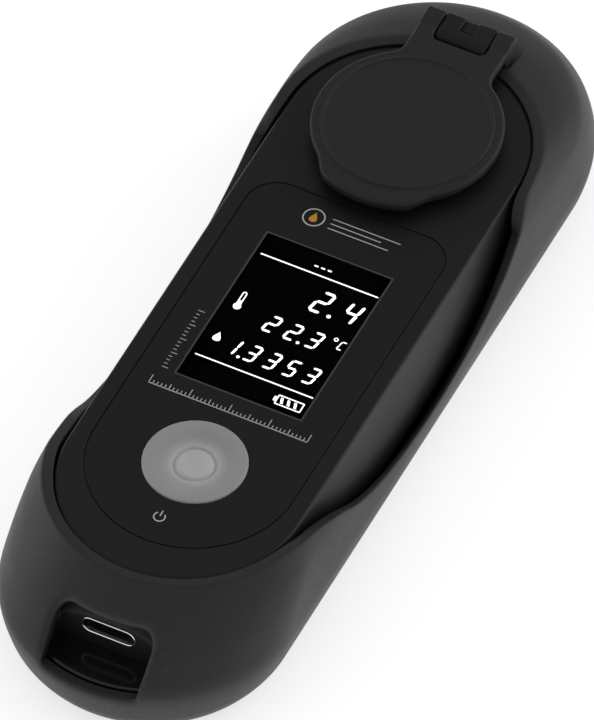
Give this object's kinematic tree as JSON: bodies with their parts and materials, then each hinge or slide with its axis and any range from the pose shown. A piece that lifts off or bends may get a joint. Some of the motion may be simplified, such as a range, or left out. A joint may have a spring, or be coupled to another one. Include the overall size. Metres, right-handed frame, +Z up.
{
  "type": "digital refractometer",
  "caption": "Handheld digital refractometer in a rubber sleeve, with a hinged round lid over its sample well, a display, one push button and a charging port.",
  "frame": {"origin": "centre of the bounding box, on the flat underside of the sleeve that the instrument rests on", "axes": "+Z up out of the face, +Y along the body towards the lid's hinge, +X to the right seen from above with the hinge at the far end"},
  "size_m": [0.0456, 0.1419, 0.0266],
  "materials": {
    "sleeve_rubber": "matte black moulded rubber, slightly dusty",
    "lid_rubber": "fine matte black moulded rubber",
    "case_plastic": "fine-grained black plastic",
    "label_film": null,
    "window_glass": "clear polished window",
    "display_black": "black display with white segments",
    "diffuser_white": "white light guide",
    "holder_plastic": "black moulded frame",
    "flex_amber": "amber polyimide film",
    "switch_black": "moulded black",
    "board_green": "green solder resist",
    "chip_black": "moulded black epoxy",
    "battery_foil": "satin laminate foil",
    "foam_pad": "closed-cell foam",
    "plug_white": "natural nylon",
    "lead_red": "red wire insulation",
    "lead_black": "black wire insulation",
    "port_steel": "polished stainless shell",
    "tongue_black": "moulded black",
    "well_steel": "fine turned stainless steel",
    "optical_glass": "polished optical glass",
    "seal_rubber": "black nitrile rubber",
    "block_black": "matte black, non-reflecting",
    "lamp_epoxy": "yellow-tinted epoxy",
    "thermistor_epoxy": "brown epoxy bead",
    "pin_steel": "ground steel",
    "screw_steel": "zinc-plated steel",
    "button_silicone": "translucent grey silicone, satin"
  },
  "bodies": {
    "case": {"sleeve": "sleeve_rubber", "top_case": "case_plastic", "bottom_case": "case_plastic", "case_gasket": "seal_rubber", "label_overlay": "label_film", "display_window": "window_glass", "display_panel": "display_black", "backlight": "diffuser_white", "display_holder": "holder_plastic", "display_ribbon": "flex_amber", "switch_body": "switch_black", "main_board": "board_green", "controller_chip": "chip_black", "converter_chip": "chip_black", "charger_chip": "chip_black", "battery_cell": "battery_foil", "battery_pad": "foam_pad", "battery_plug": "plug_white", "battery_lead_red": "lead_red", "battery_lead_black": "lead_black", "port_shell": "port_steel", "port_tongue": "tongue_black", "sample_well": "well_steel", "prism": "optical_glass", "prism_seal": "seal_rubber", "optic_block": "block_black", "light_source": "lamp_epoxy", "collimating_lens": "optical_glass", "sensor_board": "board_green", "line_sensor": "chip_black", "thermistor": "thermistor_epoxy", "sensor_flex": "flex_amber", "hinge_pin": "pin_steel", "case_screws": "screw_steel", "board_screws": "screw_steel", "optic_screws": "screw_steel"},
    "lid": {"lid": "lid_rubber", "lid_seal": "seal_rubber"},
    "button": {"button_cap": "button_silicone", "switch_plunger": "switch_black"}
  },
  "joints": [
    {"name": "lid_hinge", "type": "hinge", "parent": "case", "child": "lid", "pos_m": [0, 0.05645, 0.024], "axis": [-1, 0, 0], "range_deg": [0, 110]},
    {"name": "button_press", "type": "slide", "parent": "case", "child": "button", "axis": [0, 0, -1], "range_m": [0, 0.0004], "stiffness_N_per_m": 4000}
  ]
}
